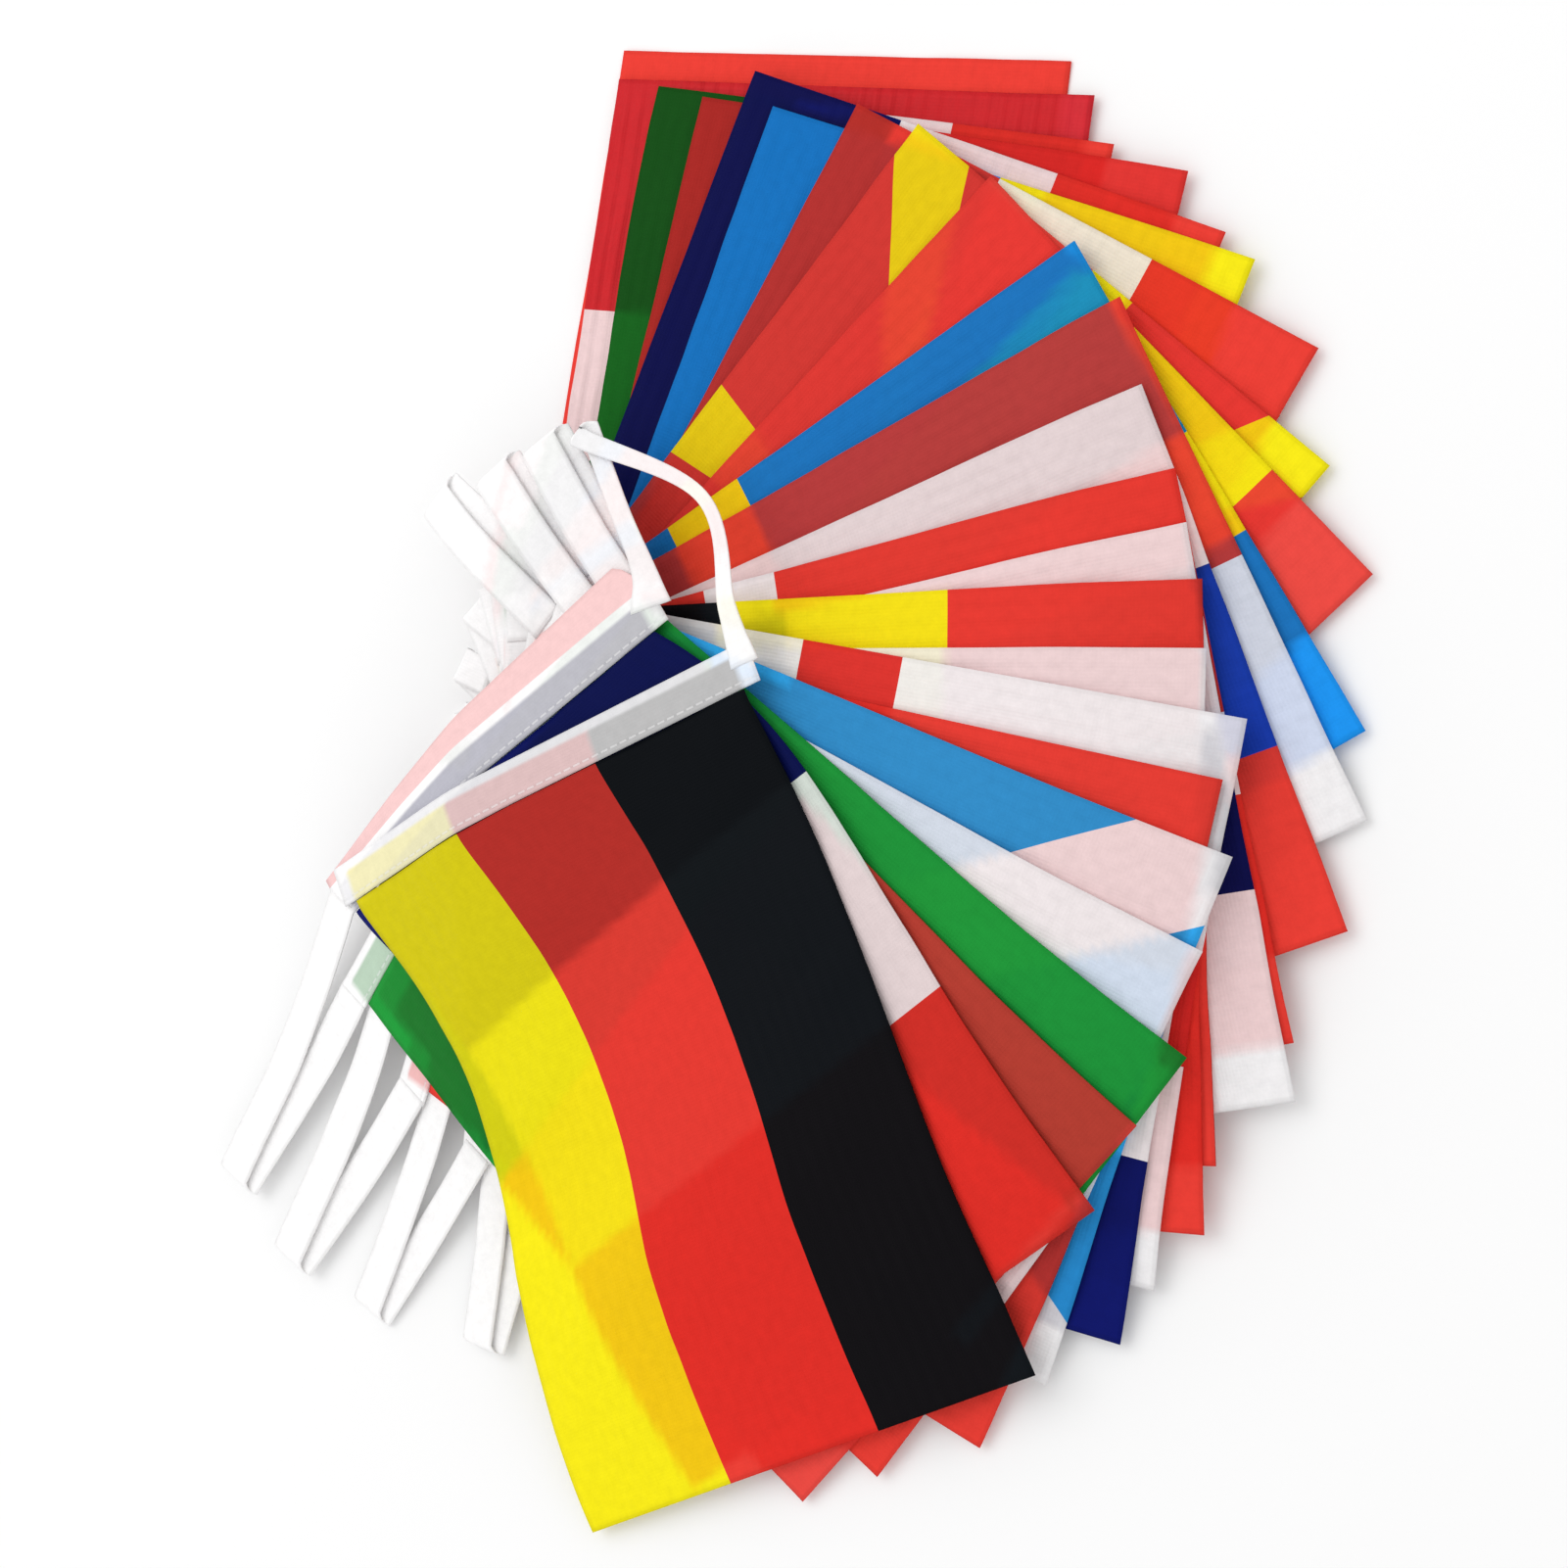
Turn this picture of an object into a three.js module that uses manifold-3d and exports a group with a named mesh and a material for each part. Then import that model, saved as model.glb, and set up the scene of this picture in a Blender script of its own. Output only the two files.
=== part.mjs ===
// A string of country flags, packed away as a fanned zig-zag stack.
// Twenty-four oblong cloth flags lie on each other, each turned a little further than the one
// above it. One long white tape holds them: it is the heading at the short edge of every flag,
// and it runs on from flag to flag through folded loops that lie outside the stack.
// Units are millimetres, +Z is up, and the stack rests on z = 0 with its middle over the origin.

import * as THREE from 'three';
import { mergeVertices } from 'three/addons/utils/BufferGeometryUtils.js';
import Module from 'manifold-3d';

const wasm = await Module();
wasm.setup();

// The cut sizes of one flag and of the tape.
const FLAG_WIDTH = 140;
const FLAG_LENGTH = 193;
const TAPE_WIDTH = 11;
const SHEET = 1.15;
const SEAM = 0.3;

// The clear height between two layers, and how far the heading reaches past the cloth at both
// sides, where the tape runs on to the next flag.
const CLEAR = 0.36;
const TAB = 5;

// A short fold of tape has this width and reaches this far past the cloth. The block that
// joins its two layers has the side FOLD_SIDE. CUT_HEIGHT is that of the blocks that cut the pieces out of a layer.
const FOLD_REACH = 20;
const FOLD_WIDTH = 10;
const FOLD_SIDE = 5;
const CUT_HEIGHT = 200;

// Every layer is bent along the same square grid of lines, so that two layers keep their clear
// height everywhere. DROOP is how far a point hangs below the mean of its neighbours.
const CELL = 24;
const CELLS = 20;
const DROOP = 2.4;
const PASSES = 200;
const TEST_STEPS = 6;

// The flags from the top of the stack to its bottom. x and y are the middle of the heading
// edge, and turn is the direction in which the flag lies, in degrees from +X.
const FLAGS = [
  { x: -77, y: 12, turn: -68.0, colour: 0x14181c },
  { x: -88, y: 21, turn: -55.8, colour: 0x141c5c },
  { x: -98, y: 5, turn: -44.0, colour: 0xb5332f },
  { x: -92, y: 5, turn: -39.1, colour: 0x1f9236 },
  { x: -97, y: -10, turn: -27.6, colour: 0xe9edf2 },
  { x: -92, y: -6, turn: -22.5, colour: 0x3a8fd6 },
  { x: -93, y: -21, turn: -13.2, colour: 0xe2382f },
  { x: -87, y: -12, turn: -11.7, colour: 0xf1efec },
  { x: -89, y: -28, turn: -2.2, colour: 0xe7d3d6 },
  { x: -88, y: -18, turn: -0.2, colour: 0xf2df1d },
  { x: -78, y: -35, turn: 9.3, colour: 0xe6cfd3 },
  { x: -79, y: -25, turn: 10.4, colour: 0xdf352e },
  { x: -69, y: -30, turn: 19.2, colour: 0xe4d9dc },
  { x: -64, y: -20, turn: 23.7, colour: 0xbf3a37 },
  { x: -62, y: -18, turn: 29.1, colour: 0x1b86cf },
  { x: -48, y: -24, turn: 41.6, colour: 0xe84a40 },
  { x: -49, y: -17, turn: 47.6, colour: 0xe23b33 },
  { x: -31, y: -20, turn: 58.1, colour: 0xc03033 },
  { x: -24, y: -21, turn: 67.2, colour: 0x1670c6 },
  { x: -35, y: -10, turn: 65.8, colour: 0x111c66 },
  { x: -20, y: -14, turn: 74.7, colour: 0xae221f },
  { x: -36, y: -7, turn: 75.8, colour: 0x10601c },
  { x: -28, y: -2, turn: 80.2, colour: 0xd41f27 },
  { x: -30, y: 7, turn: 80.5, colour: 0xe8382c },
];

// The long edges of the top flag are drawn to its left hand, most at its right-hand edge, where
// it lies over the loops. The curve has its peak a third of the way from the heading.
const TOP_BOW = { left: 5, right: 18 };
const BOW_POWER = 0.65;
const BOW_STEPS = 14;

// The visible loops of tape. Each row joins the flag with the number upper to the one below it:
// lead is the line of points from the lower heading to the tip of the fold, and back is the
// line from the tip to the upper heading. The other neighbours are joined by a short fold.
const LOOPS = [
  { upper: 0, width: 8, lead: [[-40, 64]], tip: [-59, 98], back: [[-22, 78], [-13, 49]] },
  { upper: 1, width: 11, lead: [], tip: [-188, -104], back: [] },
  { upper: 2, width: 11, lead: [], tip: [-72, 97], back: [] },
  { upper: 3, width: 11, lead: [], tip: [-169, -126], back: [] },
  { upper: 4, width: 11, lead: [], tip: [-88, 91], back: [] },
  { upper: 5, width: 10, lead: [], tip: [-143, -139], back: [] },
  { upper: 6, width: 11, lead: [], tip: [-110, 86], back: [] },
  { upper: 7, width: 10, lead: [], tip: [-105, -146], back: [] },
];

const TAPE_COLOUR = 0xf3f2f0;

// A point of a flag: along runs from the heading edge, and across runs to its left hand.
function flagPoint(flag, along, across) {
  const turn = THREE.MathUtils.degToRad(flag.turn);
  return new THREE.Vector2(
    flag.x + along * Math.cos(turn) - across * Math.sin(turn),
    flag.y + along * Math.sin(turn) + across * Math.cos(turn),
  );
}

// An oblong strip in the plan, between the points a and b.
function makeStrip(a, b, width) {
  const middle = a.clone().add(b).multiplyScalar(0.5);
  return { middle, turn: b.clone().sub(a).angle(), length: a.distanceTo(b), width };
}

function clothStrip(flag, extra) {
  const start = TAPE_WIDTH + SEAM - extra;
  const ends = [flagPoint(flag, start, 0), flagPoint(flag, FLAG_LENGTH + extra, 0)];
  return makeStrip(...ends, FLAG_WIDTH + 2 * extra);
}

// The cloth's outline in the plan, and an upright block over it.
function clothCutter(flag, bow) {
  const start = TAPE_WIDTH + SEAM;
  const edgePoint = (n, side, reach) => {
    const share = n / BOW_STEPS;
    const drawn = reach * Math.sin(Math.PI * share ** BOW_POWER) ** 2;
    const along = start + share * (FLAG_LENGTH - start);
    return flagPoint(flag, along, side * (FLAG_WIDTH / 2) + drawn).toArray();
  };
  const steps = Array.from({ length: BOW_STEPS + 1 }, (_, n) => n);
  const used = bow ? steps : [0, BOW_STEPS];
  const right = used.map((n) => edgePoint(n, -1, bow ? bow.right : 0));
  const left = used.map((n) => edgePoint(n, 1, bow ? bow.left : 0));
  const block = wasm.Manifold.extrude([[...right, ...left.reverse()]], CUT_HEIGHT);
  return block.translate([0, 0, -1]);
}

function headingStrip(flag) {
  const reach = FLAG_WIDTH / 2 + TAB;
  const ends = [1, -1].map((side) => flagPoint(flag, TAPE_WIDTH / 2, side * reach));
  return makeStrip(...ends, TAPE_WIDTH);
}

// A point on the heading's middle line, past the cloth by the reach. Side is 1 at the left hand
// of a flag and -1 at its right hand.
function pastCloth(flag, side, reach) {
  return flagPoint(flag, TAPE_WIDTH / 2, side * (FLAG_WIDTH / 2 + reach));
}

// The strips of tape along a line of points, each reaching a little past its ends.
function stripsAlong(points, width) {
  const reach = width / 2 - 0.5;
  return points.slice(1).map((to, n) => {
    const step = to.clone().sub(points[n]).setLength(reach);
    return makeStrip(points[n].clone().sub(step), to.clone().add(step), width);
  });
}

// The joint between the flag numbered upper and the one below it.
function makeJoint(upper) {
  const side = upper % 2 === 0 ? 1 : -1;
  const [start, end] = [upper + 1, upper].map((n) => pastCloth(FLAGS[n], side, TAB / 2));
  const loop = LOOPS.find((row) => row.upper === upper);
  if (!loop) {
    const [a, b] = [upper + 1, upper].map((n) => pastCloth(FLAGS[n], side, FOLD_REACH));
    const tip = a.add(b).multiplyScalar(0.5);
    const lower = stripsAlong([start, tip], FOLD_WIDTH);
    return { tip, lower, upper: stripsAlong([tip, end], FOLD_WIDTH) };
  }
  const [lead, [tip], back] = [loop.lead, [loop.tip], loop.back].map((line) => (
    line.map(([x, y]) => new THREE.Vector2(x, y))
  ));
  return {
    tip,
    lower: stripsAlong([start, ...lead, tip], loop.width),
    upper: stripsAlong([tip, ...back, end], loop.width),
  };
}

// The layers from the top to the bottom, with the strips in the plan of each.
const joints = FLAGS.slice(1).map((flag, n) => makeJoint(n));
const layers = FLAGS.map((flag, n) => ({
  flag,
  cloth: clothStrip(flag, 0),
  tape: [headingStrip(flag), ...(joints[n]?.upper ?? []), ...(joints[n - 1]?.lower ?? [])],
}));

// The grid's lines, with its middle over the origin. A node is where two lines cross.
const NODES = CELLS + 1;

function nodePlace(index) {
  return (index - CELLS / 2) * CELL;
}

function isInside(strip, x, y, margin) {
  const away = new THREE.Vector2(x, y).sub(strip.middle).rotateAround(new THREE.Vector2(), -strip.turn);
  return Math.abs(away.x) <= strip.length / 2 + margin && Math.abs(away.y) <= strip.width / 2 + margin;
}

// Marks the four nodes of every cell that one of the strips touches.
function touchedNodes(strips) {
  const touched = new Set();
  const pitch = CELL / TEST_STEPS;
  for (let i = 0; i < CELLS; i += 1) {
    for (let j = 0; j < CELLS; j += 1) {
      const hit = Array.from({ length: (TEST_STEPS + 1) ** 2 }, (_, n) => [
        nodePlace(i) + (n % (TEST_STEPS + 1)) * pitch,
        nodePlace(j) + Math.floor(n / (TEST_STEPS + 1)) * pitch,
      ]).some(([x, y]) => strips.some((strip) => isInside(strip, x, y, pitch)));
      if (hit) {
        [0, 1, NODES, NODES + 1].forEach((step) => touched.add(i * NODES + j + step));
      }
    }
  }
  return touched;
}

// Lets a layer hang over what lies under it: each touched node goes to the mean of its touched
// neighbours, less the droop, but not below the ground.
function hangLayer(ground, touched) {
  const heights = ground.slice();
  for (let pass = 0; pass < PASSES; pass += 1) {
    for (const node of touched) {
      const near = [-NODES, -1, 1, NODES].map((step) => node + step).filter((n) => touched.has(n));
      const mean = near.reduce((sum, n) => sum + heights[n], 0) / near.length;
      heights[node] = Math.max(ground[node], mean - DROOP);
    }
  }
  return heights;
}

function solidOf({ position, index }) {
  return new wasm.Manifold(new wasm.Mesh({
    numProp: 3,
    vertProperties: new Float32Array(position),
    triVerts: new Uint32Array(index),
  }));
}

// One whole layer of the grid, as a closed solid of the sheet's thickness.
function layerSolid(heights) {
  const count = NODES * NODES;
  const position = [];
  for (const rise of [0, SHEET]) {
    heights.forEach((z, node) => {
      position.push(nodePlace(Math.floor(node / NODES)), nodePlace(node % NODES), z + rise);
    });
  }
  const index = [];
  for (let i = 0; i < CELLS; i += 1) {
    for (let j = 0; j < CELLS; j += 1) {
      const a = i * NODES + j;
      const [b, c, d] = [a + NODES, a + NODES + 1, a + 1];
      index.push(a, c, b, a, d, c);
      index.push(a + count, b + count, c + count, a + count, c + count, d + count);
    }
  }
  const lines = Array.from({ length: CELLS }, (_, n) => n);
  const rim = [
    ...lines.map((n) => n * NODES),
    ...lines.map((n) => CELLS * NODES + n),
    ...lines.map((n) => (CELLS - n) * NODES + CELLS),
    ...lines.map((n) => CELLS - n),
  ];
  rim.forEach((a, n) => {
    const b = rim[(n + 1) % rim.length];
    index.push(a, b, b + count, a, b + count, a + count);
  });
  return solidOf({ position, index });
}

// An upright block over a strip, from one height to another.
function blockOver(strip, bottom, top) {
  const box = new THREE.BoxGeometry(strip.length, strip.width, top - bottom);
  box.rotateZ(strip.turn);
  box.translate(strip.middle.x, strip.middle.y, (top + bottom) / 2);
  box.deleteAttribute('normal');
  box.deleteAttribute('uv');
  const merged = mergeVertices(box);
  return solidOf({ position: merged.attributes.position.array, index: merged.index.array });
}

function cutterOver(strip) {
  return blockOver(strip, -1, CUT_HEIGHT);
}

// The height of a layer's lower face at one point, on the same triangles as its solid.
function heightAt(heights, { x, y }) {
  const [u, v] = [x, y].map((place) => place / CELL + CELLS / 2);
  const [i, j] = [Math.floor(u), Math.floor(v)];
  const [s, t] = [u - i, v - j];
  const [a, b, c, d] = [0, NODES, NODES + 1, 1].map((step) => heights[i * NODES + j + step]);
  return s > t ? a + (b - a) * s + (c - b) * t : a + (d - a) * t + (c - d) * s;
}

// The upright block that joins the tape of two neighbouring layers at the tip of a fold.
function foldBlock({ tip, bottom }, top) {
  const side = new THREE.Vector2(FOLD_SIDE / 2, 0);
  const square = makeStrip(tip.clone().sub(side), tip.clone().add(side), FOLD_SIDE);
  return blockOver(square, bottom, top);
}

// The stack is laid from its lowest layer upwards. The tape is cut back where the cloth is.
const cloths = [];
const tapePieces = [];
const ground = new Float64Array(NODES * NODES);
for (let n = layers.length - 1; n >= 0; n -= 1) {
  const { flag, cloth, tape } = layers[n];
  const touched = touchedNodes([cloth, ...tape]);
  const heights = hangLayer(ground, touched);
  const sheet = layerSolid(heights);
  const clearCloth = cutterOver(clothStrip(flag, SEAM));
  cloths[n] = sheet.intersect(clothCutter(flag, n === 0 ? TOP_BOW : null));
  tapePieces.push(sheet.intersect(wasm.Manifold.union(tape.map(cutterOver)).subtract(clearCloth)));
  if (joints[n]) {
    const clearBelow = cutterOver(clothStrip(FLAGS[n + 1], SEAM));
    const block = foldBlock(joints[n], heightAt(heights, joints[n].tip) + SHEET / 2);
    tapePieces.push(block.subtract(clearCloth).subtract(clearBelow));
  }
  if (n > 0) {
    joints[n - 1].bottom = heightAt(heights, joints[n - 1].tip) + SHEET / 2;
  }
  for (const node of touched) {
    ground[node] = heights[node] + SHEET + CLEAR;
  }
}

function addMesh(group, name, solid, colour) {
  const { vertProperties, triVerts } = solid.getMesh();
  const geometry = new THREE.BufferGeometry();
  geometry.setAttribute('position', new THREE.Float32BufferAttribute(vertProperties, 3));
  geometry.setIndex(Array.from(triVerts));
  geometry.computeVertexNormals();
  const material = new THREE.MeshStandardMaterial({ color: colour, roughness: 0.85, metalness: 0 });
  const mesh = new THREE.Mesh(geometry, material);
  mesh.name = name;
  group.add(mesh);
}

const bunting = new THREE.Group();
cloths.forEach((cloth, n) => {
  addMesh(bunting, `flag_${String(n + 1).padStart(2, '0')}`, cloth, FLAGS[n].colour);
});
addMesh(bunting, 'tape', wasm.Manifold.union(tapePieces), TAPE_COLOUR);

// Centres the stack over the origin.
const middle = new THREE.Box3().setFromObject(bunting).getCenter(new THREE.Vector3());
bunting.position.set(-middle.x, -middle.y, 0);
bunting.updateMatrixWorld(true);

export default bunting;
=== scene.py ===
# %% [markdown]
# A string of country flags, packed away as a fanned stack
#
# The real object is a long white tape with small printed flags sewn to it. It has been folded
# zig-zag, flag on flag, and then fanned out on a table. Each flag lies a little further round
# than the one above it, and the tape between two flags makes a flat loop beside the stack.
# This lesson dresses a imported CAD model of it. The model gives the place of every piece, and
# the cloth, the printed colours, the weave and the light are made here.

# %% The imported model
import math

import bpy
import numpy as np
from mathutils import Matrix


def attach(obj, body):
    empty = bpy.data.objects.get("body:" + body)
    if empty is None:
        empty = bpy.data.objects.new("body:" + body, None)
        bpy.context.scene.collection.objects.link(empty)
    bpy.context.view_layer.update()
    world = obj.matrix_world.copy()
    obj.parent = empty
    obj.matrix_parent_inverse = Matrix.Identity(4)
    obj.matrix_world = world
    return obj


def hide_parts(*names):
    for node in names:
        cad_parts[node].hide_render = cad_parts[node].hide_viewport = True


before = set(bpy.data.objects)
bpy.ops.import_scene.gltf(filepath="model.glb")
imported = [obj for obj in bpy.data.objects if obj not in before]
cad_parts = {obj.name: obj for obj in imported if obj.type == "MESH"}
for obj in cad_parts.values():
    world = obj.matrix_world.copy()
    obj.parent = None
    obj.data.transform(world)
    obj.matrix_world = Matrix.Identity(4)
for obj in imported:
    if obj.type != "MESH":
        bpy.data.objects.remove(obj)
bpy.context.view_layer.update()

# %% [markdown]
# The camera
#
# The photograph was taken from the right, looking down over the fan, so flags at the right are
# larger. All flags are equal, so a camera could be fitted to their far corners. Its place is in
# millimetres in the part's frame, and its lens is given for Blender's 36 mm sensor.

# %% The camera
CAMERA_PLACE = (333.0, -37.9, 634.7)
CAMERA_TURN = (0.05025, 0.46857, 0.0)
LENS = 62.24
SENSOR = 36.0

camera_data = bpy.data.cameras.new("camera")
camera_data.lens = LENS
camera_data.sensor_width = SENSOR
camera_data.clip_start = 0.01
camera = bpy.data.objects.new("camera", camera_data)
camera.location = [value / 1000 for value in CAMERA_PLACE]
camera.rotation_euler = CAMERA_TURN
bpy.context.collection.objects.link(camera)
bpy.context.scene.camera = camera
print("camera at", tuple(camera.location))

# %% [markdown]
# Colours and nodes
#
# Colours are picked as sRGB hex values, as a painter's program shows them, but Blender works
# with linear light. One function turns one into the other. Another adds a node to a material,
# with its settings and its links, and every material below is made with it.


# %% Colours and nodes
def linear(code):
    """The linear colour of an sRGB hex code: dark channels are divided, the others raised to 2.4."""
    srgb = np.array([int(code[i : i + 2], 16) for i in (0, 2, 4)]) / 255
    return np.where(srgb <= 0.04045, srgb / 12.92, ((srgb + 0.055) / 1.055) ** 2.4)


def rgba(code):
    """The same colour as a list of four numbers, as Blender's sockets want it."""
    return [*linear(code).tolist(), 1.0]


def add(tree, kind, settings=None, **links):
    """Adds a node: settings go to its properties, links to its inputs by name or by _number.
    A link may be a value, another node's socket, or a node, whose first output is then used."""
    node = tree.nodes.new(kind)
    for key, value in (settings or {}).items():
        setattr(node, key, value)
    for key, value in links.items():
        socket = node.inputs[int(key[1:])] if key[0] == "_" else node.inputs[key.replace("_", " ")]
        if isinstance(value, bpy.types.Node):
            value = value.outputs[0]
        if isinstance(value, bpy.types.NodeSocket):
            tree.links.new(value, socket)
        else:
            socket.default_value = value
    return node


def new_material(name):
    """An empty node material with its output, and the tree to add nodes to."""
    material = bpy.data.materials.new(name)
    material.use_nodes = True
    material.node_tree.nodes.clear()
    return material, material.node_tree


print("mid grey in linear light:", linear("808080").round(3))

# %% [markdown]
# The floor and the light
#
# The stack lies on a plain white ground, under light so soft that it throws almost no shadow.
# A pale world lights everything evenly. One large lamp above and to the left gives the folds
# just enough shade to read.

# %% The floor and the light
FLOOR_SIZE = 6.0
FLOOR_PAINT = "f7f7f7"
SKY_STRENGTH = 0.88

floor_mesh = bpy.data.meshes.new("floor")
half = FLOOR_SIZE / 2
corners = [(-half, -half, 0), (half, -half, 0), (half, half, 0), (-half, half, 0)]
floor_mesh.from_pydata(corners, [], [(0, 1, 2, 3)])
floor = bpy.data.objects.new("floor", floor_mesh)
bpy.context.collection.objects.link(floor)
floor_paint, tree = new_material("matt white floor")
surface = add(tree, "ShaderNodeBsdfPrincipled", Base_Color=rgba(FLOOR_PAINT), Roughness=0.9)
add(tree, "ShaderNodeOutputMaterial", Surface=surface)
floor_mesh.materials.append(floor_paint)

world = bpy.data.worlds.new("studio")
bpy.context.scene.world = world
world.use_nodes = True
sky = world.node_tree.nodes["Background"]
sky.inputs["Color"].default_value = rgba("ffffff")
sky.inputs["Strength"].default_value = SKY_STRENGTH

lamp_data = bpy.data.lights.new("soft box", "AREA")
lamp_data.shape = "DISK"
lamp_data.size = 1.6
lamp_data.energy = 9.0
lamp = bpy.data.objects.new("soft box", lamp_data)
lamp.location = (-0.7, 0.6, 1.5)
lamp.rotation_euler = (math.radians(-22), math.radians(-25), 0)
bpy.context.collection.objects.link(lamp)
bpy.context.scene.view_settings.view_transform = "Standard"
print("world strength", SKY_STRENGTH, "and a lamp of", lamp_data.energy, "W")

# %% [markdown]
# Where the flags lie
#
# Each flag is 140 mm wide and 193 mm long, with the tape at its short edge. A row gives the
# middle of that edge in millimetres and the direction in which the flag lies. The rows go from
# the top of the stack to its bottom, and are counted from 0. A loop row joins the flag with its
# number to the one below it: the tape goes from the lower flag along lead to the tip, folds, and
# comes back. Joints without a row get a short plain fold. The CAD sheets are 1.15 mm thick and
# lie 0.36 mm apart, and CENTRE moves the plan to where the CAD has it.

# %% Where the flags lie
WIDTH, LENGTH, TAPE, TAB, THICK, CLEAR = 140.0, 193.0, 11.0, 5.0, 1.15, 0.36
SEAM = 0.3
CENTRE = np.array([26.312, -7.869])
FLAGS = [
    (-77, 12, -68.0),
    (-88, 21, -55.8),
    (-98, 5, -44.0),
    (-92, 5, -39.1),
    (-97, -10, -27.6),
    (-92, -6, -22.5),
    (-93, -21, -13.2),
    (-87, -12, -11.7),
    (-89, -28, -2.2),
    (-88, -18, -0.2),
    (-78, -35, 9.3),
    (-79, -25, 10.4),
    (-69, -30, 19.2),
    (-64, -20, 23.7),
    (-62, -18, 29.1),
    (-48, -24, 41.6),
    (-49, -17, 47.6),
    (-31, -20, 58.1),
    (-24, -21, 67.2),
    (-35, -10, 65.8),
    (-20, -14, 74.7),
    (-36, -7, 75.8),
    (-28, -2, 80.2),
    (-30, 7, 80.5),
]
COUNT = len(FLAGS)
LOOPS = {
    0: {"width": 8, "lead": [(-40, 64)], "tip": (-59, 98), "back": [(-22, 78), (-13, 49)]},
    1: {"width": 11, "lead": [], "tip": (-188, -104), "back": []},
    2: {"width": 11, "lead": [], "tip": (-72, 97), "back": []},
    3: {"width": 11, "lead": [], "tip": (-169, -126), "back": []},
    4: {"width": 11, "lead": [], "tip": (-88, 91), "back": []},
    5: {"width": 10, "lead": [], "tip": (-143, -139), "back": []},
    6: {"width": 11, "lead": [], "tip": (-110, 86), "back": []},
    7: {"width": 10, "lead": [], "tip": (-105, -146), "back": []},
}
FOLD_REACH, FOLD_WIDTH = 20.0, 10.0

# Edges that don't lie straight, in millimetres towards the left hand. Each edge has three shifts:
# at the heading, in the middle and at the far corner. The left-hand edge comes first.
STRAIGHT = ((0, 0, 0), (0, 0, 0))
DRAWN = {
    0: ((0, 5, 0), (0, 18, 0)),
    1: ((-13, 3, 0), (0, 14, 0)),
    21: ((0, -8, -6), (0, 0, 0)),
    23: ((0, 0, -4), (0, 0, 4)),
}
print("flags:", COUNT, "drawn loops:", len(LOOPS), "flags with drawn edges:", len(DRAWN))

# %% [markdown]
# Lines in the plan
#
# A place on a flag is told by how far it lies along the flag, from the heading's outer edge, and
# how far across it, from the middle to the left hand. Two functions turn that into the plan and
# back. Edges that don't lie straight are shifted across. The tape passes from flag to flag at
# the left hand under flags with an even number, and at the right hand under the others.

# %% Lines in the plan
NEAR_FADE = 7
BOW_POWER = 0.65


def on_flag(n, along, across):
    """Points of flag n in the plan: its heading's middle plus along and across, turned."""
    x, y, turn = FLAGS[n]
    c, s = math.cos(math.radians(turn)), math.sin(math.radians(turn))
    return np.stack([x + along * c - across * s, y + along * s + across * c], axis=-1)


def off_flag(n, points):
    """The along and across of points in the plan, measured on flag n: the turn, undone."""
    x, y, turn = FLAGS[n]
    c, s = math.cos(math.radians(turn)), math.sin(math.radians(turn))
    dx, dy = points[..., 0] - x, points[..., 1] - y
    return dx * c + dy * s, dy * c - dx * s


def edge_shifts(n, along):
    """How far the left-hand and the right-hand edge of flag n lie from straight. The first shift
    fades quickly, the second is a bow that peaks at a third of the length, the third grows evenly."""
    share = np.clip((along - TAPE - SEAM) / (LENGTH - TAPE - SEAM), 0, 1)
    bow = np.sin(math.pi * share**BOW_POWER) ** 2
    fade = (1 - share) ** NEAR_FADE
    return [near * fade + middle * bow + far * share for near, middle, far in DRAWN.get(n, STRAIGHT)]


def heading_end(n, side):
    """The across of the cloth's corner at the heading, at the left hand (side 1) or right hand (-1)."""
    return side * WIDTH / 2 + DRAWN.get(n, STRAIGHT)[(1 - side) // 2][0]


def passing_side(upper):
    """The side on which the tape passes from flag upper to the next: 1 is left and -1 is right."""
    return 1 if upper % 2 == 0 else -1


def joint_lines(upper):
    """The tape under flag upper, in the plan: the line out to the tip, the line back, the width."""
    side = passing_side(upper)
    start, end = (on_flag(n, TAPE / 2, side * (WIDTH / 2 + TAB / 2)) for n in (upper + 1, upper))
    loop = LOOPS.get(upper)
    if loop:
        tip = loop["tip"]
        return np.array([start, *loop["lead"], tip]), np.array([tip, *loop["back"], end]), loop["width"]
    past = [on_flag(n, TAPE / 2, side * (WIDTH / 2 + FOLD_REACH)) for n in (upper + 1, upper)]
    tip = sum(past) / 2
    return np.array([start, tip]), np.array([tip, end]), FOLD_WIDTH


JOINTS = [joint_lines(n) for n in range(COUNT - 1)]
tips = [line_out[-1].round().tolist() for line_out, line_back, width in JOINTS[: len(LOOPS)]]
print("joints:", len(JOINTS), "tips of the loops:", tips)

# %% [markdown]
# How the layers lie on each other
#
# Cloth that is laid over a pile follows what is under it and sags to the table beyond it. The
# CAD sheets were laid in that way, from the bottom up, on a square grid of 24 mm: each point of
# a layer hangs a little below the mean of its neighbours, but never below the ground. The same
# sum is done here, with numpy, so that the fine cloth below gets the same heights as the CAD.

# %% How the layers lie on each other
CELL, CELLS, DROOP, PASSES, STEPS = 24.0, 20, 2.4, 900, 6
NODES = CELLS + 1
END_CUT = 0.5


def strip(a, b, width):
    """An oblong in the plan, from a to b: its middle, its unit direction and its half sizes."""
    a, b = np.asarray(a, float), np.asarray(b, float)
    span = b - a
    length = np.linalg.norm(span)
    return (a + b) / 2, span / length, length / 2, width / 2


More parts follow.
